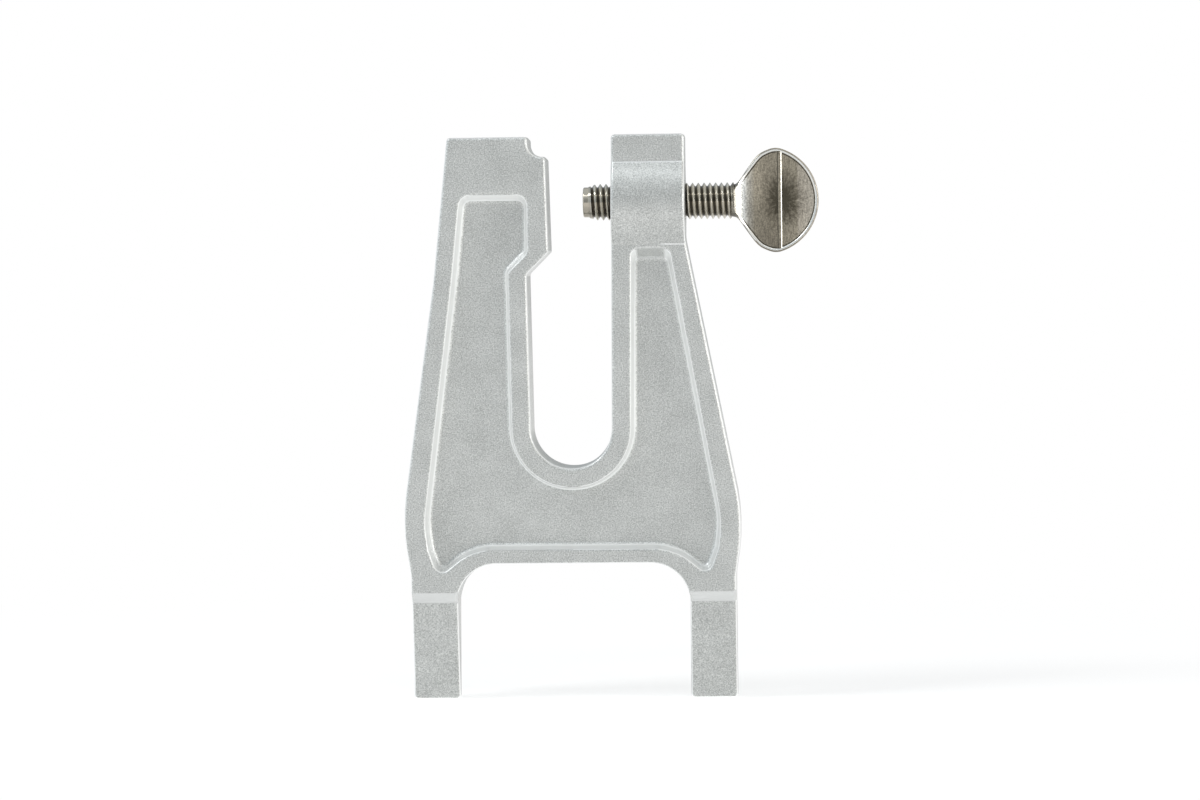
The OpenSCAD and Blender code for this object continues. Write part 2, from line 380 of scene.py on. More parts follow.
def round_corners(piece, corners, depth):
    """Round every corner of a drawn outline to its radius."""
    places = find_places(corners, depth)
    for number, (place, (_, _, radius)) in enumerate(zip(places, corners)):
        back = (places[number - 1] - place).normalized()
        ahead = (places[(number + 1) % len(places)] - place).normalized()
        half = back.angle(ahead) / 2
        turn_per_edge = SMALL_R_TURN if radius < SMALL_R else LARGE_R_TURN
        edges = max(2, round(math.degrees(math.pi - 2 * half) / turn_per_edge))
        pick(piece, "VERT", lambda v: (v.co - place).length < TINY)
        bpy.ops.mesh.bevel(
            offset=radius * MM / math.tan(half), segments=edges, affect="VERTICES",
            offset_type="OFFSET", profile=ROUND_PROFILE, clamp_overlap=False,
        )
    weld(WELD)


# %% [markdown]
# ## The cast frame, front half
# A casting leaves its mould because every wall leans a little: here 1.5 degrees from the
# middle plane to each face. So the outline is drawn on the middle plane and inset as it is
# raised, which gives the lean in the same stroke. Only the front half is modelled, and the
# back half is its mirror image.

# %% Draw the silhouette
HALF_T = 6.2
WALL_LEAN = math.radians(1.5)
EDGE_R = 1.0
HIP_R = 38
BEND_R = 6
SLOT_R = 8.5
ARCH_R = 8.5
JAW_FOOT_R = 2.7

SILHOUETTE = [
    (25.15, 0, EDGE_R), (35.35, 0, EDGE_R), (35.35, 27.6, BEND_R), (37.1, 39, HIP_R),
    (25.1, 100, BEND_R), (25.1, 122.6, EDGE_R), (9.1, 122.6, EDGE_R),
    (8.5, 50.8, SLOT_R), (-8.5, 50.8, SLOT_R), (-9.1, 92.55, EDGE_R),
    (-4.35, 97.3, EDGE_R), (-4.85, 118, EDGE_R), (-8.65, 118, JAW_FOOT_R),
    (-8.65, 122.3, EDGE_R), (-26.3, 122.3, EDGE_R), (-29.6, 91.2, BEND_R), (-37.1, 39, HIP_R),
    (-35.35, 27.6, BEND_R), (-35.35, 0, EDGE_R), (-25.15, 0, EDGE_R),
    (-25.15, 29.9, ARCH_R), (25.15, 29.9, ARCH_R),
]
casting = draw_outline("cast_frame", SILHOUETTE, 0)
round_corners(casting, SILHOUETTE, 0)
print("silhouette:", len(bmesh.from_edit_mesh(casting.data).verts), "points")

# %% Raise it, with the wall's lean
pick(casting, "FACE", lambda face: True)
bpy.ops.mesh.inset(
    thickness=HALF_T * MM * math.tan(WALL_LEAN), depth=HALF_T * MM, use_even_offset=True,
)
clear_selection()
describe(casting)

# %% [markdown]
# ## The pocket
# Both faces are hollowed by one shallow pocket that runs round the foot of the slot and
# leaves ribs along every side. It saves metal and keeps the wall even. It could be inset
# into the face, but its outline keeps no even distance from the frame's. So it is modelled
# as the plug that the mould has there: its own outline, inset as it is sunk, and taken away
# from the casting. Its two top ends slope more than its sides do.

# %% Draw the plug
POCKET_D = 3.8
POCKET_LEAN = math.radians(10)
PLUG_PROUD = 1
LOBE_R = 2.1
TURN_R = 2.4
INNER_HIP_R = 20
OVER_ARCH_R = 11.7
UNDER_SLOT_R = 12.7

POCKET = [
    (-23.53, 109.8, TURN_R), (-25.5, 91.2, TURN_R), (-32.2, 39, INNER_HIP_R),
    (-31.45, 33.1, TURN_R), (-29.25, 27.0, LOBE_R), (-21.95, 33.1, OVER_ARCH_R),
    (21.95, 33.1, OVER_ARCH_R), (29.25, 27.0, LOBE_R), (31.45, 33.1, TURN_R),
    (32.2, 39, INNER_HIP_R), (21.55, 98.0, 2.2), (13.3, 98.0, 1.8),
    (12.7, 46.6, UNDER_SLOT_R), (-12.7, 46.6, UNDER_SLOT_R), (-13.3, 93.05, 1.1),
    (-9.05, 97.3, 2.0), (-9.05, 109.8, TURN_R),
]
plug = draw_outline("pocket_plug", POCKET, -HALF_T)
round_corners(plug, POCKET, -HALF_T)
pick(plug, "FACE", lambda face: True)
bpy.ops.mesh.inset(
    thickness=POCKET_D * MM * math.tan(POCKET_LEAN), depth=-POCKET_D * MM, use_even_offset=True,
)
clear_selection()
describe(plug)

# %% Slope the plug's two top ends and close it
LEFT_END_FROM = 106
LEFT_END_SLOPE = 0.45
RIGHT_END_FROM = 95
RIGHT_END_SLOPE = 1.3
floor_y = (POCKET_D - HALF_T) * MM


def slope_end(wanted, slope):
    """Lower the wanted vertices of the plug's floor by a slope in mm."""
    pick(plug, "VERT", lambda v: v.co.y > floor_y - TINY and wanted(v.co / MM))
    bpy.ops.transform.translate(value=(0, 0, -slope * MM))


take_up(plug)
slope_end(lambda place: place.z > LEFT_END_FROM, LEFT_END_SLOPE)
slope_end(lambda place: place.z > RIGHT_END_FROM and place.x > 0, RIGHT_END_SLOPE)
pick(plug, "EDGE", lambda edge: edge.is_boundary)
bpy.ops.mesh.extrude_region_move(TRANSFORM_OT_translate={"value": (0, -PLUG_PROUD * MM, 0)})
bpy.ops.mesh.edge_face_add()
face_outwards()
clear_selection()
describe(plug)

# %% [markdown]
# ## Cut the pocket
# The plug is taken away from the front half by a Boolean. A face with a hole in it would get
# long thin edges across it. So the front is split down the middle first, and the pocket then
# reaches the edge of each half.

# %% Split the front and cut the pocket
def bisect(piece, height, axis="Z", wanted=lambda face: True):
    """Cut the wanted faces with a plane that is square to the axis, at the height in mm."""
    normal = Vector([float(name == axis) for name in "XYZ"])
    pick(piece, "FACE", wanted)
    bpy.ops.mesh.bisect(plane_co=normal * height * MM, plane_no=normal, threshold=TINY)


def use_modifier(piece, kind, **settings):
    """Add a modifier with its settings, and apply it."""
    hold(piece)
    bpy.ops.object.modifier_add(type=kind)
    modifier = piece.modifiers[-1]
    for name, value in settings.items():
        setattr(modifier, name, value)
    bpy.ops.object.modifier_apply(modifier=modifier.name)


def combine(piece, operation, tool):
    """Join the piece with a tool object by a Boolean, and delete the tool."""
    use_modifier(piece, "BOOLEAN", object=tool, operation=operation, solver="EXACT")
    hold(tool)
    bpy.ops.object.delete()


take_up(casting)
bisect(casting, 0, "X")
combine(casting, "DIFFERENCE", plug)
describe(casting)

# %% [markdown]
# ## Press the legs into wedges
# The legs are driven into wood, so they are wedges: their faces slope in from a short
# shoulder to thin tips. Scaling the tips would narrow them from the sides as well. So the
# legs are cut below the shoulder and a few times across its rounded edge, and each row of
# front vertices is pushed in to the wedge's depth at its height.

# %% Press the legs into wedges
LEG_H = 21.5
SHOULDER_TOP = 23.8
SHOULDER_R = 1.2
SHOULDER_ROWS = 4
LEG_ROOT = 4.3
LEG_TIP = 1.0
NEAR = 0.01
shoulder_slope = math.atan((HALF_T - LEG_ROOT) / (SHOULDER_TOP - LEG_H))
shoulder_end = SHOULDER_TOP + SHOULDER_R * math.tan(shoulder_slope / 2)
shoulder_start = shoulder_end - SHOULDER_R * math.sin(shoulder_slope)


def front_rows(piece, wanted, depth_at):
    """Move wanted front vertices, one row of equal height at a time, to depth_at(height)."""
    mesh = bmesh.from_edit_mesh(piece.data)
    heights = {round(v.co.z / TINY) for v in mesh.verts if wanted(v)}
    for height in sorted(heights):
        pick(piece, "VERT", lambda v: wanted(v) and round(v.co.z / TINY) == height)
        push = HALF_T - depth_at(height * TINY / MM)
        bpy.ops.transform.translate(value=(0, push * MM, 0))
    return len(heights)


def leg_depth(z):
    """Half the leg's thickness at a height, with the shoulder's edge rounded."""
    if z <= LEG_H:
        return LEG_TIP + (LEG_ROOT - LEG_TIP) * z / LEG_H
    if z <= shoulder_start:
        return LEG_ROOT + (z - LEG_H) * math.tan(shoulder_slope)
    return HALF_T - SHOULDER_R + math.sqrt(SHOULDER_R ** 2 - (shoulder_end - z) ** 2)


def at_front(vertex):
    """Tell the vertices of the front face from those of the pocket and the middle plane."""
    return abs(vertex.co.y + HALF_T * MM) < TINY


take_up(casting)
bisect(casting, LEG_H)
for row in range(SHOULDER_ROWS + 1):
    turn = shoulder_slope * row / SHOULDER_ROWS
    bisect(casting, shoulder_end - SHOULDER_R * math.sin(turn))
rows = front_rows(casting, lambda v: at_front(v) and v.co.z < (shoulder_end - NEAR) * MM, leg_depth)
print("rows moved on the legs:", rows)

# %% [markdown]
# ## Swell the boss
# The boss round the screw is the right arm, swollen to the front by an arc. A cylinder could
# be joined to the arm, but its sides would miss the arm's leaning walls. So the arm is cut
# into rows, and each row is moved out to its place on the arc. Two upright cuts and a level
# one at the boss's foot part off the short faces that shine there.

# %% Swell the boss
ARM_FROM_X = 5
BOSS_FOOT = 98.6
BOSS_TOP = 116.5
BOSS_PROUD = 3
BOSS_ROWS = 18
CREASE_X = (19.6, 20.6)
CREASE_H = 0.36
CREASE_CUT_H = 1.5
FRONT_LIMIT = 0.5
boss_mid = (BOSS_FOOT + BOSS_TOP) / 2
boss_half = (BOSS_TOP - BOSS_FOOT) / 2
boss_r = (boss_half ** 2 + BOSS_PROUD ** 2) / (2 * BOSS_PROUD)
boss_angle = math.asin(boss_half / boss_r)


def lies_beyond(face, x):
    """Whether the whole face lies to the right of a place x, in mm."""
    return all(v.co.x > x * MM for v in face.verts)


def on_right_arm(face):
    """Whether the whole face lies on the right arm, from the boss's foot up."""
    foot = (BOSS_FOOT - NEAR) * MM
    return lies_beyond(face, ARM_FROM_X) and all(v.co.z > foot for v in face.verts)


def on_boss(vertex):
    """Whether the vertex is on the arm's front, between the boss's foot and its top."""
    inside = (BOSS_FOOT + NEAR) * MM < vertex.co.z < (BOSS_TOP - NEAR) * MM
    return at_front(vertex) and vertex.co.x > ARM_FROM_X * MM and inside


def boss_depth(z):
    """How far the front stands from the middle plane at a height on the boss."""
    return HALF_T + math.sqrt(boss_r ** 2 - (z - boss_mid) ** 2) - (boss_r - BOSS_PROUD)


bisect(casting, BOSS_FOOT, wanted=lambda face: lies_beyond(face, -NEAR))
for row in range(1, BOSS_ROWS + 1):
    turn = boss_angle * (2 * row / BOSS_ROWS - 1)
    bisect(casting, boss_mid + boss_r * math.sin(turn), wanted=on_right_arm)
print("rows moved on the boss:", front_rows(casting, on_boss, boss_depth))

# %% Cut the faces at the boss's foot
crease_cut = (BOSS_FOOT + CREASE_CUT_H) * MM
for x in CREASE_X:
    bisect(
        casting, x, "X",
        lambda face: on_right_arm(face) and all(v.co.z < crease_cut for v in face.verts),
    )
bisect(
    casting, BOSS_FOOT + CREASE_H,
    wanted=lambda face: face.normal.y < -FRONT_LIMIT and lies_beyond(face, CREASE_X[0] - NEAR),
)
clear_selection()
describe(casting)

# %% [markdown]
# ## Round every edge of the casting
# Castings have no sharp edges, and the bright line along each rounded edge is what makes
# metal look cast. Every kind of edge has its own width of rounding, so each kind is picked
# and given a bevel weight, and one Bevel modifier then rounds them all together, which also
# joins them well where they meet. Along one chain of edges the weight stays the same: where
# it changed, the rounding would fold over itself.
#
# The kinds of edge are told by the faces on both sides, and the kinds of face by how far
# they look to the front or the back: the size of their normal's Y is 0 on a wall that stands
# square to the front, and 1 on a flat face.

# %% Helpers: tell the casting's faces apart
FLOOR_LIMIT = 0.9
POCKET_WALL_LIMIT = 0.75
OUTER_WALL_LIMIT = 0.3
POCKET_FROM = LEG_H + 4


def is_pocket_wall(face):
    """Whether the face is one of the pocket's side walls."""
    middle = face.calc_center_median() / MM
    above = BOSS_FOOT if middle.x > 0 else POCKET[0][1]
    sunk = max(v.co.y for v in face.verts) < floor_y + 10 * TINY
    return sunk and abs(face.normal.y) < POCKET_WALL_LIMIT and POCKET_FROM < middle.z < above


def is_outer_wall(face):
    """Whether the face is one of the leaning walls that rise from the middle plane."""
    return abs(face.normal.y) < OUTER_WALL_LIMIT and not is_pocket_wall(face)


def is_floor(face):
    """Whether the face is the pocket's floor."""
    level = all(abs(v.co.y - floor_y) < TINY for v in face.verts)
    return level and abs(face.normal.y) > FLOOR_LIMIT


def is_front(face):
    """Whether the face belongs to the ribs, the arms, the boss or the legs."""
    return face.normal.y < -FRONT_LIMIT and not is_floor(face) and not is_pocket_wall(face)


def between(edge, one, other):
    """Whether the edge lies between a face of one kind and a face of the other."""
    faces = edge.link_faces
    return len(faces) == 2 and (
        one(faces[0]) and other(faces[1]) or one(faces[1]) and other(faces[0])
    )


# %% Weigh the edges
BEVEL_WIDTH = 1
RIM_ROUND = 0.66
POCKET_RIM_ROUND = 0.42
POCKET_FLOOR_ROUND = 0.80
CREASE_ROUND = 0.20
BENT = 0.3


def weigh(piece, label, width, wanted):
    """Give the wanted edges the bevel weight that rounds them over a width in mm."""
    mesh = bmesh.from_edit_mesh(piece.data)
    mesh.normal_update()
    layer = mesh.edges.layers.float.get("bevel_weight_edge")
    if layer is None:
        layer = mesh.edges.layers.float.new("bevel_weight_edge")
    count = 0
    for edge in mesh.edges:
        if wanted(edge):
            edge[layer] = width / BEVEL_WIDTH
            count += 1
    bmesh.update_edit_mesh(piece.data)
    print(label, count, "edges rounded over", width, "mm")


def is_bent(edge):
    """Whether the edge's two faces turn by more than a little, in radians."""
    return edge.calc_face_angle(0) > BENT


def at_boss_top(edge):
    """Whether the edge runs level along the top of the boss."""
    return all(abs(v.co.z - BOSS_TOP * MM) < 2 * TINY for v in edge.verts)


take_up(casting)
weigh(casting, "outer rim:", RIM_ROUND, lambda e: between(e, is_front, is_outer_wall))
weigh(casting, "pocket rim:", POCKET_RIM_ROUND, lambda e: between(e, is_front, is_pocket_wall))
weigh(
    casting, "pocket floor:", POCKET_FLOOR_ROUND,
    lambda e: between(e, is_floor, lambda face: not is_floor(face)) and is_bent(e),
)
weigh(
    casting, "boss crease:", CREASE_ROUND,
    lambda e: at_boss_top(e) and between(e, is_front, is_front) and is_bent(e),
)

# %% [markdown]
# The cuts have left some vertices closer together than 0.06 mm. They would pinch a rounding,
# so they are merged before the modifier does its work.

# %% Round the weighed edges
CLOSE = 0.06


def round_weighed(piece, segments):
    """Round all the weighed edges of a piece together."""
    use_modifier(
        piece, "BEVEL", width=BEVEL_WIDTH * MM, limit_method="WEIGHT", segments=segments,
        profile=ROUND_PROFILE, miter_outer="MITER_SHARP", use_clamp_overlap=False, loop_slide=False,
    )
    describe(piece)


take_up(casting)
weld(CLOSE * MM)
round_weighed(casting, segments=4)

# %% [markdown]
# ## The back, the hole and the shading
# The back of the casting is the mirror image of its front. The hole for the screw is then
# drilled through the boss with a cylinder. It could be cut with a thread, but nothing of that
# would be seen. Last, the faces that meet at less than 35 degrees are shaded as one smooth
# surface, and weighted normals keep the large faces flat beside their rounded edges.

# %% Mirror the front and drill the hole
HOLE_R = 4.0
HOLE_X = 17.1
DRILL_L = 18
SCREW_Z = 108
FINE_SIDES = 64


def mirror_to_back(piece):
    """Add the back half of a piece as the mirror image of its front half."""
    use_modifier(
        piece, "MIRROR", use_axis=(False, True, False), use_clip=True, merge_threshold=WELD,
    )


def add_rod(middle_x, length, radius, sides):
    """Add a round rod on the screw's axis, from its middle's place and its sizes in mm."""
    bpy.ops.mesh.primitive_cylinder_add(
        vertices=sides, radius=radius * MM, depth=length * MM,
        location=(middle_x * MM, 0, SCREW_Z * MM), rotation=(0, math.pi / 2, 0),
    )
    return bpy.context.object


mirror_to_back(casting)
combine(casting, "DIFFERENCE", add_rod(HOLE_X, DRILL_L, HOLE_R, FINE_SIDES))
take_up(casting)
weld(TINY)
face_outwards()
clear_selection()
describe(casting)

# %% Smooth the casting
SMOOTH_ANGLE = math.radians(35)


def smooth_shade(piece):
    """Shade the piece smooth, apart from its sharp edges."""
    hold(piece)
    bpy.ops.object.shade_smooth_by_angle(angle=SMOOTH_ANGLE)
    print(piece.name, "is shaded smooth up to", math.degrees(SMOOTH_ANGLE), "degrees")


smooth_shade(casting)
use_modifier(casting, "WEIGHTED_NORMAL", keep_sharp=True)
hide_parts("vise_frame")
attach(casting, "vise_frame")

# %% [markdown]
# ## Cast alloy
# The casting is bare metal with two finishes. Its flat faces were blasted: they are matt,
# with a grain like fine sandpaper. The pocket's walls, the rims and the shoulders kept the
# smooth skin of the mould, which is lighter, and the outer walls kept a trace of it. That
# lighter tone on the walls, rims and shoulders is partly painted highlight. The edges of the
# boss get a painted highlight line. Where its foot runs into the right pocket, the end wall is
# painted darker as shade and its corners brighter as painted highlight. Each finish could
# have a material of its own, but the rims lie between the two. So an attribute on the faces
# says how much of the skin and the painted light a face has, chosen by how far the face looks
# to the front or the back.

# %% Mark the smooth skin and the painted light
WALL_LIMIT = 0.10
RIM_LIMIT = 0.25
SKIN_LIMIT = 0.74
BLAST_LIMIT = 0.80
OUTER_SKIN = 0.1
# The walls and the shoulders get the lighter skin tone, which is partly painted highlight.
WALL_SKIN_AND_HIGHLIGHT = 0.85
SHOULDER_SKIN_AND_HIGHLIGHT = 0.5
SHOULDER_ROLL = 0.3
SHOULDER_LIMIT = 0.95
# The boss's top edge and its foot on the right rib get a painted highlight line.
CREASE_HIGHLIGHT = 0.4
CREASE_AREA = 2
FOOT_HIGHLIGHT = 0.65
# The right pocket's end wall gets less of the light tone, as painted shade, and its corners more,
# as painted highlight.
END_SHADED_SKIN = 0.22
END_FROM = (12, 95.2)
END_LIMIT = 0.96
END_TURN = (0.2, 0.5)


def share_of(value, start, end):
    """Say how far a value has come from start to end, from 0 to 1."""
    return min(1, max(0, (value - start) / (end - start)))


def is_pocket_end(face):
    """Whether the face is at the right pocket's top, where the boss's foot runs into it."""
    middle = face.center / MM
    on_wall = abs(face.normal.y) < END_LIMIT and abs(face.normal.z) > END_TURN[0]
    return middle.x > END_FROM[0] and END_FROM[1] < middle.z < BOSS_FOOT and on_wall


def crease_highlight_mark(face):
    """Mark a painted highlight on the boss's top edge, and on its foot, which fades to the left."""
    middle = face.center / MM
    at_top = abs(middle.z - BOSS_TOP) < CREASE_ROUND and middle.x > ARM_FROM_X
    if at_top and face.area < CREASE_AREA * MM ** 2:
        return CREASE_HIGHLIGHT
    if middle.x > CREASE_X[0] and 0 < middle.z - BOSS_FOOT < CREASE_H:
        return CREASE_HIGHLIGHT if middle.x < CREASE_X[1] else FOOT_HIGHLIGHT
    return 0


def skin_and_highlight_mark(face):
    """Mark a face: 0 is blasted, 0.5 the mould's skin, 1 a rim, skin with painted highlight."""
    outward = abs(face.normal.y)
    middle = face.center / MM
    if outward < WALL_LIMIT:
        return OUTER_SKIN
    # The boss's edges get a painted highlight line.
    if outward > FRONT_LIMIT and crease_highlight_mark(face):
        return crease_highlight_mark(face)
    if middle.x > ARM_FROM_X and BOSS_FOOT < middle.z < BOSS_TOP:
        outward = math.hypot(face.normal.y, face.normal.z)
    # The shoulders get the skin tone, partly as painted highlight from below.
    if LEG_H < middle.z < SHOULDER_TOP + SHOULDER_ROLL and outward < SHOULDER_LIMIT:
        return SHOULDER_SKIN_AND_HIGHLIGHT
    if is_pocket_end(face):
        # Painted shade on the end wall, painted highlight towards its corners.
        return END_SHADED_SKIN + share_of(abs(face.normal.x), *END_TURN) * (1 - END_SHADED_SKIN)
    # Walls and rims get the light skin tone, partly as painted highlight.
    return WALL_SKIN_AND_HIGHLIGHT if outward < RIM_LIMIT else share_of(outward, BLAST_LIMIT, SKIN_LIMIT)


skin = casting.data.attributes.new("skin_and_highlight", "FLOAT", "FACE")
for face, mark in zip(casting.data.polygons, skin.data):
    mark.value = skin_and_highlight_mark(face)
print("faces with the smooth skin:", sum(mark.value > CREASE_HIGHLIGHT for mark in skin.data))

# %% [markdown]
# Now the metal itself. Two noises, read from the object's own coordinates, make the grain:
# they shift the colour and the roughness, and the finer one raises and lowers the surface a
# little. The smooth skin shows no grain in its colour, and it scatters more of the light than
# the blasted faces do. Its lighter tone, partly painted highlight, makes the pocket's walls
# stand out as light bands. The two finishes could be two shaders that are mixed, but mixing
# their numbers keeps it to one shader.

# %% Mix the cast alloy
BLASTED_TONES = [(0.40, (0.39, 0.401, 0.388)), (0.76, (0.82, 0.83, 0.81))]
# The skin's light tones also paint the highlights on rims, walls, shoulders and the boss's edges.
SKIN_AND_HIGHLIGHT_TONES = [(0.5, (0.78, 0.79, 0.78)), (1.0, (0.95, 0.96, 0.95))]
BLASTED_ROUGHNESS = (0.34, 0.44)
SKIN_ROUGHNESS = 0.22
BLASTED_METAL = 0.65
SKIN_METAL = (0.50, 0.15)
CLOUD_SHARE = 0.15
GRAIN_DEPTH = 0.03


def noise(tree, place, scale, detail, roughness):
    """Read a noise at a place, as a number."""
    return add_node(
        tree, "ShaderNodeTexNoise", Vector=place, Scale=scale, Detail=detail, Roughness=roughness,
    ).outputs["Fac"]


def ramp_of(tree, value, tones):
    """Turn a number into a colour by (place, colour) stops."""
    node = add_node(tree, "ShaderNodeValToRGB", Fac=value)
    stops = node.color_ramp.elements
    for number, (place, tone) in enumerate(tones):
        stop = stops[number] if number in (0, len(tones) - 1) else stops.new(place)
        stop.position = place
        stop.color = (*tone, 1)
    return node.outputs["Color"]


def read_mark(tree, name):
    """Read the mark that an attribute gives a face."""
    return add_node(tree, "ShaderNodeAttribute", {"attribute_name": name}).outputs["Fac"]


def finish_metal(material, pieces, colour, metallic, roughness, bump):
    """Join the finishes in one metal shader, and give the material to its pieces."""
    nodes = material.node_tree
    metal = add_node(
        nodes, "ShaderNodeBsdfPrincipled", Base_Color=colour, Metallic=metallic,
        Roughness=roughness, Normal=bump.outputs["Normal"],
    )
    add_node(nodes, "ShaderNodeOutputMaterial", Surface=metal.outputs[0])
    for piece in pieces:
        piece.data.materials.clear()
        piece.data.materials.append(material)
    print(material.name, "is on", [piece.name for piece in pieces])


cast_alloy = bpy.data.materials.new("cast_alloy")
tree = empty_tree(cast_alloy)
where = add_node(tree, "ShaderNodeTexCoord").outputs["Object"]
grain = noise(tree, where, scale=3700, detail=4, roughness=0.55)
cloud = noise(tree, where, scale=160, detail=2, roughness=0.5)
blasted = ramp_of(tree, count_up(tree, "MULTIPLY_ADD", cloud, CLOUD_SHARE, grain), BLASTED_TONES)
# The mark carries the skin, the painted highlights and the pocket end's painted shade.
mark = read_mark(tree, "skin_and_highlight")
smooth = fade(tree, mark, 0, 0.5, curve="LINEAR")
grain_rough = fade(tree, grain, 0.3, 0.7, *BLASTED_ROUGHNESS, curve="LINEAR")
finish_metal(
    cast_alloy, [casting],
    colour=blend(tree, smooth, blasted, ramp_of(tree, mark, SKIN_AND_HIGHLIGHT_TONES)),
    metallic=mix(tree, smooth, BLASTED_METAL, fade(tree, mark, 0.5, WALL_SKIN_AND_HIGHLIGHT, *SKIN_METAL)),
    roughness=mix(tree, smooth, grain_rough, SKIN_ROUGHNESS),
    bump=add_node(
        tree, "ShaderNodeBump", Height=grain, Strength=0.13, Distance=GRAIN_DEPTH * MM,
    ),
)

# %% [markdown]
# ## The screw's thread
# The thread is M8 with a pitch of 1.25 mm, rolled into a steel shank. Rings would look much
# the same, but only a helix stays right as the screw turns. It is one small profile, a ridge
# and half a valley on each side, carried round the axis and along it at the same time. The
# Screw modifier does just that, and merging its doubles joins each turn to the next. The
# start is then turned down by a cone, as on every screw, so that the first ridges grow out
# of the end.

# %% Roll the thread
THREAD_R = 3.95
ROOT_R = 3.25
PITCH = 1.25
CREST = 0.12
ROOT_FLAT = 0.20
RIDGE_ROUND = 0.05
THREAD_FROM = 2.2
TURNS = 27
STEPS = 48
half_root = ROOT_FLAT / 2
flank = (PITCH - CREST - ROOT_FLAT) / 2


def draw_profile(name, points):
    """Draw a lathe's profile through (x, radius) points in mm, above the X axis."""
    return draw_line(name, [Vector((x, 0, radius)) * MM for x, radius in points])


def carry_round(piece, turns, steps, pitch=0):
    """Carry a profile round the X axis, and along it by the pitch in mm at each turn."""
    use_modifier(
        piece, "SCREW", axis="X", angle=math.tau, screw_offset=pitch * MM, iterations=turns,
        steps=steps, render_steps=steps, use_merge_vertices=True, merge_threshold=TINY,
    )


thread = draw_profile("screw_thread", [
    (0, ROOT_R), (half_root, ROOT_R), (half_root + flank, THREAD_R),
    (PITCH - half_root - flank, THREAD_R), (PITCH - half_root, ROOT_R), (PITCH, ROOT_R),
])
pick(thread, "VERT", lambda v: TINY < v.co.x < PITCH * MM - TINY)
bpy.ops.mesh.bevel(offset=RIDGE_ROUND * MM, segments=2, affect="VERTICES")
carry_round(thread, TURNS, STEPS, PITCH)
take_up(thread)
weld(WELD)
bpy.ops.transform.translate(value=(THREAD_FROM * MM, 0, SCREW_Z * MM))
print("thread:", TURNS, "turns,", len(bmesh.from_edit_mesh(thread.data).faces), "faces")

# %% Cap the thread
SHANK_X = 4.042
NECK_X = 35.3
INTO_NECK = 0.2
for cut_x, keep_after in ((SHANK_X, True), (NECK_X + INTO_NECK, False)):
    pick(thread, "FACE", lambda face: True)
    bpy.ops.mesh.bisect(
        plane_co=(cut_x * MM, 0, 0), plane_no=(1, 0, 0), use_fill=True,
        clear_inner=keep_after, clear_outer=not keep_after, threshold=TINY,
    )
face_outwards()
clear_selection()
describe(thread)

# %% Turn down the thread's start
START_R = 3.35
START_L = 1.7
BLANK_R = 4.2
BLANK_SPARE = 1
blank_l = NECK_X + BLANK_SPARE - SHANK_X
blank = add_rod(SHANK_X + blank_l / 2, blank_l, BLANK_R, STEPS)
place_at_origin(blank)
take_up(blank)
cone_l = START_L * (BLANK_R - START_R) / (THREAD_R - START_R)
bisect(blank, SHANK_X + cone_l, "X")
start_scale = START_R / BLANK_R
pick(blank, "VERT", lambda v: v.co.x < SHANK_X * MM + TINY)
bpy.ops.transform.resize(
    value=(1, start_scale, start_scale), center_override=(0, 0, SCREW_Z * MM),
)
combine(thread, "INTERSECT", blank)
describe(thread)

# %% [markdown]
# ## The screw's head
# The head is a thumb piece: the end of a round bar, flared and pressed flat. Its outline
# runs from the neck up a short flare into one large arc, over a small one at the widest
# place and down a second large arc. It is raised from the middle plane as the casting was,
# and towards the neck it climbs a ramp, row by row. Then one inset marks the rim, the next
# sinks the face inside it, and a narrow third one makes the corner that is later painted
# dark with dirt and painted shade.

# %% Draw the head's outline
HEAD_R = 11.65
PEAK_R = 4.0
HEAD_X = 53.8
ARC_START = 41.3
QUARTER = math.pi / 2
FLARE = [
    (34.9, 3.4), (35.95, 3.62), (36.4, 3.98), (36.9, 4.62), (37.5, 5.5), (38.3, 6.68),
    (39.1, 7.8), (39.9, 8.86), (40.6, 9.62),
]
near_centre = NECK_X + HEAD_R
far_centre = HEAD_X - HEAD_R
head_middle = (near_centre + far_centre) / 2
half_apart = (near_centre - far_centre) / 2
peak_z = math.sqrt((HEAD_R - PEAK_R) ** 2 - half_apart ** 2)
peak_turn = math.asin(half_apart / (HEAD_R - PEAK_R))
near_start = math.acos((ARC_START - near_centre) / HEAD_R)
near_end = QUARTER + peak_turn
far_start = QUARTER - peak_turn


def draw_arc(centre_x, centre_z, radius, start, end, parts):
    """Give the points of an arc, from its start angle until just before its end."""
    angles = [start + (end - start) * n / parts for n in range(parts)]
    return [(centre_x + radius * math.cos(a), centre_z + radius * math.sin(a)) for a in angles]


upper = FLARE + draw_arc(near_centre, 0, HEAD_R, near_start, near_end, parts=6)
upper += draw_arc(head_middle, peak_z, PEAK_R, near_end, far_start, parts=8)
upper += draw_arc(far_centre, 0, HEAD_R, far_start, 0, parts=22) + [(HEAD_X, 0)]
lower = [(x, -r) for x, r in reversed(upper[:-1])]
head = draw_outline("screw_head", [(x, SCREW_Z + r, 0) for x, r in upper + lower], 0)
print("head outline:", len(upper + lower), "points")

# %% Raise the head and climb the ramp to the neck
HEAD_HALF = 1.6
SIDE_LEAN = 0.08
RAMP_END = 39.6
RAMP_L = 4.6
RAMP_RISE = 2.5
TOP_LIMIT = 0.9


def ramp(x):
    """How much the face rises above the flat head, at a place along the screw."""
    return RAMP_RISE * max(0, (RAMP_END - x) / RAMP_L) ** 2


def is_top(face):
    """Whether the face is the head's raised front."""
    return face.normal.y < -TOP_LIMIT


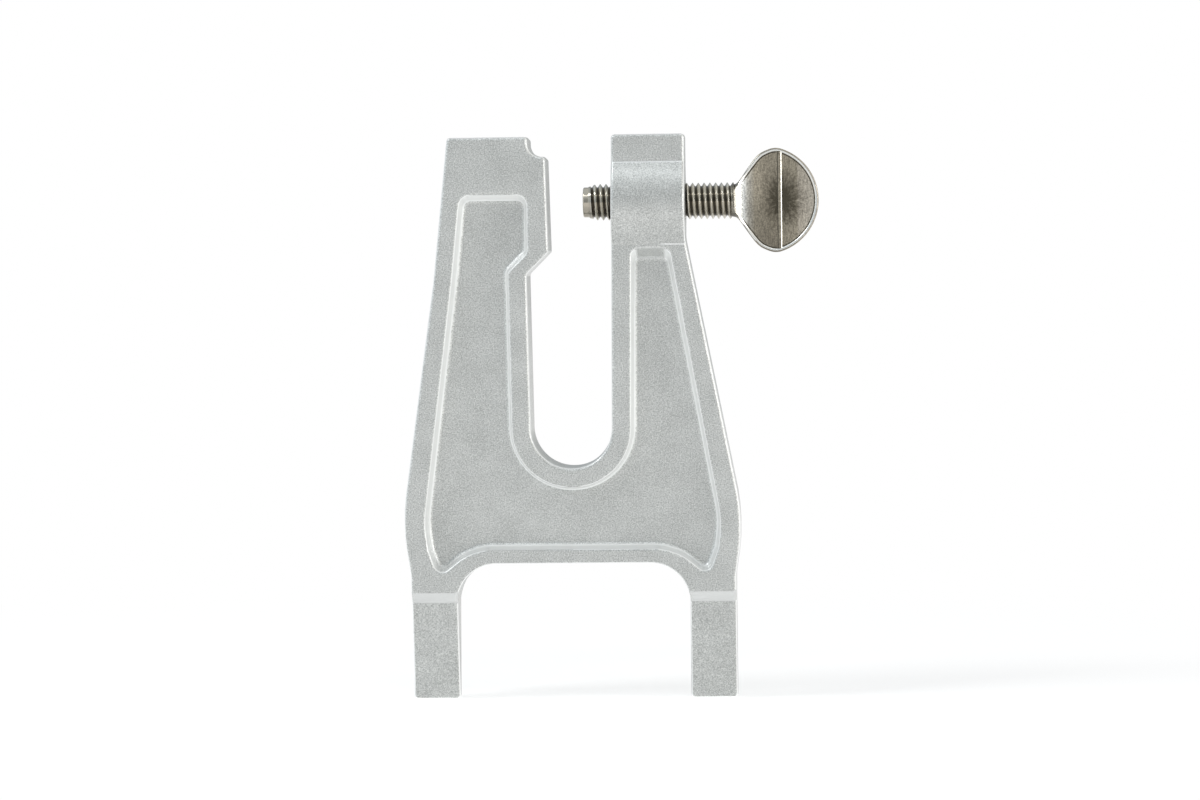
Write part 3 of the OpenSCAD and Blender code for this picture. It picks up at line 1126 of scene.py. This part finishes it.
pick(head, "FACE", is_top)
bpy.ops.mesh.inset(thickness=SIDE_LEAN * MM, depth=HEAD_HALF * MM, use_even_offset=True)
on_top = [v.co.x / MM for v in bmesh.from_edit_mesh(head.data).verts if v.co.y < -MM]
rows = []
for x in sorted(on_top):
    if x < RAMP_END and (not rows or x - rows[-1] > NEAR):
        rows.append(x)
for x in rows[1:]:
    bisect(head, x, "X", is_top)
for x in rows:
    pick(head, "VERT", lambda v: v.co.y < -MM and abs(v.co.x / MM - x) < NEAR)
    bpy.ops.transform.translate(value=(0, -ramp(x) * MM, 0))
print("rows on the ramp:", len(rows))

# %% Raise the rim, sink the face
RIM_W = 0.66
RIM_STEP = 0.14
RIM_H = 0.42
GUTTER_W = 0.17
RAMP_LIMIT = 0.3
pick(head, "FACE", lambda face: face.normal.y < -RAMP_LIMIT)
for width, step in ((RIM_W, 0), (RIM_STEP, -RIM_H), (GUTTER_W, 0)):
    bpy.ops.mesh.inset(thickness=width * MM, depth=step * MM, use_even_offset=True)
mirror_to_back(head)
describe(head)

# %% [markdown]
# ## The neck, the rim's edges and the bar
# The neck was turned before the head was pressed, so it is round. A lathe's profile, carried
# round the screw's axis, gives a trumpet-shaped body, and only what lies inside the trumpet
# is kept of the ramp. The rim is then rounded on both its edges. A straight bar stands
# across the face, from rim to rim. Its right edge is rounded wide, and that edge catches the
# light as one bright line.

# %% Trim the neck with a trumpet
TRUMPET = [
    (34.5, 0), (34.5, 3.4), (34.95, 3.5), (35.5, 3.58), (35.9, 3.8), (36.4, 4.25), (36.9, 4.95),
    (37.5, 5.9), (38.3, 7.3), (38.8, 12.5), (55, 12.5), (55, 0),
]
TRUMPET_STEPS = 96
trumpet = draw_profile("trumpet", TRUMPET)
carry_round(trumpet, 1, TRUMPET_STEPS)
take_up(trumpet)
bpy.ops.mesh.select_all(action="SELECT")
bpy.ops.transform.translate(value=(0, 0, SCREW_Z * MM))
weld(TINY)
face_outwards()
combine(head, "INTERSECT", trumpet)
describe(head)

# %% Round the rim's edges
NECK_END = 37.4
FLAT_LIMIT = 0.45
RIM_EDGE_ROUND = 0.26


def is_flat(face):
    """Whether the face looks to the front or the back."""
    return abs(face.normal.y) > FLAT_LIMIT


def on_rim(edge):
    """Whether the edge is one of the rim's raised ones, away from the middle and the neck."""
    raised = min(abs(v.co.y) for v in edge.verts) > MM and edge.calc_face_angle_signed(0) > 0
    return raised and min(v.co.x for v in edge.verts) > NECK_END * MM


take_up(head)
weigh(
    head, "rim edges:", RIM_EDGE_ROUND,
    lambda e: between(e, is_flat, lambda face: not is_flat(face)) and on_rim(e),
)
round_weighed(head, segments=3)

# %% Stand the bar across the face
BAR_X = 45.4
BAR_W = 1.02
BAR_L = 20.7
BAR_HALF = 1.66
BAR_EDGES = ((1, 0.42, 4), (-1, 0.16, 2))


def on_side(edge, side):
    """Whether the edge is an upright one of the bar, on its right, 1, or on its left, -1."""
    one, other = (v.co / MM for v in edge.verts)
    return abs(one.z - other.z) > 1 and side * (one.x - BAR_X) > 0


bpy.ops.mesh.primitive_cube_add(size=1, location=(BAR_X * MM, 0, SCREW_Z * MM))
bar = bpy.context.object
bar.scale = (BAR_W * MM, 2 * BAR_HALF * MM, BAR_L * MM)
place_at_origin(bar)
take_up(bar)
for side, width, segments in BAR_EDGES:
    pick(bar, "EDGE", lambda edge: on_side(edge, side))
    bpy.ops.mesh.bevel(offset=width * MM, segments=segments, affect="EDGES")
combine(head, "UNION", bar)
describe(head)

# %% [markdown]
# ## One screw
# On the real screw the thread, the neck and the head are one piece of steel. The thread could
# just stand inside the head, but that would leave hidden faces where they meet. A Boolean
# joins the two into one closed mesh instead.

# %% Join the head to the thread
combine(head, "UNION", thread)
take_up(head)
weld(TINY)
smooth_shade(head)
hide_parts("thumb_screw")
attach(head, "thumb_screw")
describe(head)

# %% [markdown]
# ## The screw's tip
# The first millimetre of the screw is the turned end that presses on the blade. It is a
# plain disc with its edge taken off and its middle turned a little hollow, so that it bears
# on a ring. A lathe's profile would do, and a disc with a bevel and two insets is quicker.

# %% Turn the tip
TIP_X = 2.892
TIP_R = 3.25
TIP_EDGE = 0.28
HOLLOW_R = 2.1
HOLLOW_D = 0.12
HOLLOW_WALL = 0.15
END_FACE = 0.99
tip = add_rod((TIP_X + SHANK_X) / 2, SHANK_X - TIP_X, TIP_R, FINE_SIDES)
tip.name = "screw_end"
place_at_origin(tip)
take_up(tip)
pick(tip, "EDGE", lambda e: all(v.co.x < TIP_X * MM + TINY for v in e.verts))
bpy.ops.mesh.bevel(offset=TIP_EDGE * MM, segments=4, affect="EDGES")
pick(tip, "FACE", lambda face: face.normal.x < -END_FACE)
bpy.ops.mesh.inset(thickness=(TIP_R - TIP_EDGE - HOLLOW_R) * MM, depth=0)
bpy.ops.mesh.inset(thickness=HOLLOW_WALL * MM, depth=-HOLLOW_D * MM)
smooth_shade(tip)
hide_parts("screw_tip")
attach(tip, "screw_tip")
describe(tip)

# %% [markdown]
# ## Bright steel
# The screw is bright, warm-toned steel, smoother than the casting. Its rim is painted bright,
# partly as the rub of handling and partly as painted highlight, and the bar's right edge gets a
# painted highlight. The corner inside the rim is painted dark, partly as dirt and partly as
# painted shade, and the bar's left edge and the rim's outer edge get painted shade. These
# places follow the head's form, so an attribute on its faces tells them apart.

# %% Mark the painted highlights and shade on the rim, the corner and the bar
RIM_SLACK = 0.06
BAR_SLACK = 0.05
UPRIGHT_LIMIT = 0.5
LEANING = 0.2
OUTER_FLAT = 0.97
GUTTER_AREA = 0.5
# The rim's outer edge gets a little painted shade.
OUTER_EDGE_SHADE = -0.35


def bar_light_mark(face):
    """Mark a face of the bar: painted highlight on its right edge, painted shade on its left one.
    """
    if abs(face.normal.x) < LEANING:
        return 0
    return 1 if face.normal.x > 0 else -1


def rim_light_mark(face):
    """Mark a head face: 1 rim with painted highlight, -1 corner with dirt and painted shade, 0
    ground.
    """
    middle = face.center / MM
    below = HEAD_HALF + ramp(middle.x) - abs(middle.y)
    inward = face.normal.x * (BAR_X - middle.x) + face.normal.z * (SCREW_Z - middle.z) > 0
    in_bar = abs(middle.x - BAR_X) < BAR_W / 2 + BAR_SLACK and abs(middle.z - SCREW_Z) < BAR_L / 2
    if middle.x < NECK_END:
        return 0
    # The bar's edges get a painted highlight on the right and painted shade on the left.
    if in_bar and abs(face.normal.z) < UPRIGHT_LIMIT:
        return bar_light_mark(face)
    if below > RIM_H + RIM_SLACK:
        return 0
    # The narrow corner inside the rim gets dirt and painted shade.
    if below > RIM_H - RIM_SLACK:
        return -1 if face.area < GUTTER_AREA * MM ** 2 else 0
    # The rim's flat top gets a painted highlight, its inward slope painted shade.
    if inward:
        return 1 if is_flat(face) else -1
    # The rim's outer edge gets painted shade.
    return 1 if abs(face.normal.y) > OUTER_FLAT else OUTER_EDGE_SHADE


rim = head.data.attributes.new("rim_light_and_wear", "FLOAT", "FACE")
for face, mark in zip(head.data.polygons, rim.data):
    mark.value = rim_light_mark(face)
# Faces painted bright, and faces painted dark, on the head.
highlit_and_worn = sum(mark.value > 0 for mark in rim.data)
shaded_and_dirty = sum(mark.value < 0 for mark in rim.data)
print("worn rim:", highlit_and_worn, "faces, dirty corner:", shaded_and_dirty, "faces")

# %% [markdown]
# The face was ground upright, so a noise stretched along Z makes fine upright lines, and an
# even noise speckles them. Across the face the tone goes from a near-white band at the neck,
# the painted highlight on its flare, to the darker ground metal, with one lighter band beyond
# the bar.

# %% Grind the face
UPRIGHT = (9000, 9000, 900)
# Near the neck the tones paint a highlight on the flare.
HEAD_TONES_AND_NECK_HIGHLIGHT = [
    (34.9, (0.40, 0.37, 0.30)), (36.6, (0.78, 0.76, 0.70)), (37.6, (0.86, 0.88, 0.87)),
    (38.5, (0.64, 0.62, 0.56)), (40.0, (0.50, 0.445, 0.35)), (42.5, (0.39, 0.345, 0.27)),
    (49.05, (0.41, 0.365, 0.285)), (49.3, (0.54, 0.485, 0.40)), (53.8, (0.62, 0.57, 0.49)),
]
screw_steel = bpy.data.materials.new("screw_steel")
tree = empty_tree(screw_steel)
where = add_node(tree, "ShaderNodeTexCoord").outputs["Object"]
place = add_node(tree, "ShaderNodeSeparateXYZ", Vector=where).outputs
lines = noise(tree, move(tree, "MULTIPLY", where, UPRIGHT), scale=1, detail=3, roughness=0.6)
speckle = noise(tree, where, scale=2600, detail=3, roughness=0.6)
ground = count_up(tree, "ADD", lines, speckle)
first = HEAD_TONES_AND_NECK_HIGHLIGHT[0][0]
last = HEAD_TONES_AND_NECK_HIGHLIGHT[-1][0]
across = fade(tree, place["X"], first * MM, last * MM, curve="LINEAR")
bands = ramp_of(tree, across, [((x - first) / (last - first), tone) for x, tone in HEAD_TONES_AND_NECK_HIGHLIGHT])
print("tones across the face:", len(HEAD_TONES_AND_NECK_HIGHLIGHT))

# %% [markdown]
# Thumbs have pressed on the middle for years and left a dark stain, with strokes that run
# outward. Its strength follows the distance from the middle, shaken by a noise that is read
# along the way outward. The bar stands above it and stays clean. The face also gets a little
# darker towards its lower left.

# %% Stain the middle of the face
FACE_X = 45.9
STAIN = (0.085, 0.074, 0.053, 1)
STAIN_DARK = 0.95
STAIN_OVAL = (1.45, 0, 1)
STAIN_FADES = (1.6, 8.4)
STROKE_L = 12
STROKE_RUN = (260, 260, 260)
BAR_RISES = (1.2, 1.5)
GROUND_SHADE = (0.62, 1.38)
LOW_SHADE = 0.70
LOW_FADES = (-5, -13)
DOWNHILL = (1.5, 0, 1)


def metres(span):
    """Give a span in mm in metres."""
    return [value * MM for value in span]


from_middle = move(tree, "SUBTRACT", where, (FACE_X * MM, 0, SCREW_Z * MM))
flat = move(tree, "MULTIPLY", from_middle, (1, 0, 1))
outward = move(tree, "MULTIPLY_ADD", flat, STROKE_RUN, move(tree, "NORMALIZE", flat))
strokes = noise(tree, outward, scale=3.0, detail=5, roughness=0.68)
wobble = count_up(tree, "MULTIPLY", count_up(tree, "SUBTRACT", strokes, 0.5), STROKE_L * MM)
reach = count_up(
    tree, "ADD", move(tree, "LENGTH", move(tree, "MULTIPLY", flat, STAIN_OVAL)), wobble,
)
depth = count_up(tree, "ABSOLUTE", place["Y"])
stain = count_up(
    tree, "MULTIPLY", fade(tree, reach, *metres(STAIN_FADES), STAIN_DARK, 0),
    fade(tree, depth, *metres(BAR_RISES), 1, 0),
)
downhill = move(tree, "DOT_PRODUCT", from_middle, DOWNHILL)
shade = count_up(
    tree, "MULTIPLY", fade(tree, ground, 0.72, 1.28, *GROUND_SHADE),
    fade(tree, downhill, *metres(LOW_FADES), 1, LOW_SHADE),
)
face_tone = blend(tree, stain, move(tree, "MULTIPLY", bands, shade), STAIN)
print("the stain fades between", STAIN_FADES, "mm from the middle")

# %% [markdown]
# The sides of the neck turn away from the light, so painted shade darkens them. The bright
# stretch between them widens with the flare, and the painted shade ends where the head begins.

# %% Paint shade on the sides of the neck
# Painted shade for the neck's sides.
NECK_SHADE = (0.15, 0.135, 0.11, 1)
NECK_DARK = 0.85
NECK_SIDE = (2.4, 3.2)
NECK_FADES = (38.2, 39.0)
FLARE_X = 36.0
FLARE_SLOPE = 1.5
height = count_up(tree, "ABSOLUTE", count_up(tree, "SUBTRACT", place["Z"], SCREW_Z * MM))
flared = count_up(tree, "MAXIMUM", count_up(tree, "SUBTRACT", place["X"], FLARE_X * MM), 0)
over = count_up(tree, "MULTIPLY_ADD", flared, -FLARE_SLOPE, height)
neck_side_shade = count_up(
    tree, "MULTIPLY", fade(tree, over, *metres(NECK_SIDE)),
    fade(tree, place["X"], *metres(NECK_FADES), NECK_DARK, 0),
)
print("the neck's sides are dark until X", NECK_FADES[1], "mm")

# %% [markdown]
# The last step joins the tones: on the head the rim, rubbed and painted bright as highlight,
# and the corner, dark with dirt and painted shade; the painted shade on the neck's sides; and
# the thread. Its crests are painted bright as highlight and its valleys dark, partly as dirt
# and partly as shade, so the thread's tone follows the distance from the screw's axis.

# %% Paint the highlights and shade on the rim, the corner and the thread
# The rim's painted highlight, and the corner's dirt and painted shade.
RIM_HIGHLIGHT_AND_WEAR = (0.80, 0.80, 0.77, 1)
CORNER_SHADE_AND_DIRT = (0.10, 0.09, 0.07, 1)
# Thread valleys: dirt and painted shade; crests: painted highlight.
VALLEY_SHADE_AND_DIRT = (0.06, 0.052, 0.04, 1)
CREST_HIGHLIGHT = (0.58, 0.55, 0.485, 1)
TURNED_END = (0.48, 0.44, 0.37, 1)
CREST_FROM = (ROOT_R, 3.68)
END_FADES = (4.0, 4.8)
HEAD_FROM = (34.6, 35.0)
THREAD_ROUGHNESS = 0.12
HEAD_ROUGHNESS = 0.27
LINE_DEPTH = 0.01
rim_light = read_mark(tree, "rim_light_and_wear")
head_tone = blend(tree, fade(tree, rim_light, 0, 1, curve="LINEAR"), face_tone, RIM_HIGHLIGHT_AND_WEAR)
head_tone = blend(tree, fade(tree, rim_light, 0, -1, curve="LINEAR"), head_tone, CORNER_SHADE_AND_DIRT)
# Painted shade on the neck's sides.
head_tone = blend(tree, neck_side_shade, head_tone, NECK_SHADE)
# The thread's tone paints shade in the valleys and a highlight on the crests.
radius = move(tree, "LENGTH", move(tree, "MULTIPLY", from_middle, (0, 1, 1)))
thread_tone = blend(tree, fade(tree, radius, *metres(CREST_FROM)), VALLEY_SHADE_AND_DIRT, CREST_HIGHLIGHT)
turned_end = fade(tree, place["X"], *metres(END_FADES), 1, 0)
thread_tone = blend(tree, turned_end, thread_tone, TURNED_END)
on_head = fade(tree, place["X"], *metres(HEAD_FROM), curve="LINEAR")
finish_metal(
    screw_steel, [head, tip],
    colour=blend(tree, on_head, thread_tone, head_tone),
    metallic=1.0,
    roughness=mix(tree, on_head, THREAD_ROUGHNESS, HEAD_ROUGHNESS),
    bump=add_node(tree, "ShaderNodeBump", Height=lines, Strength=0.2, Distance=LINE_DEPTH * MM),
)
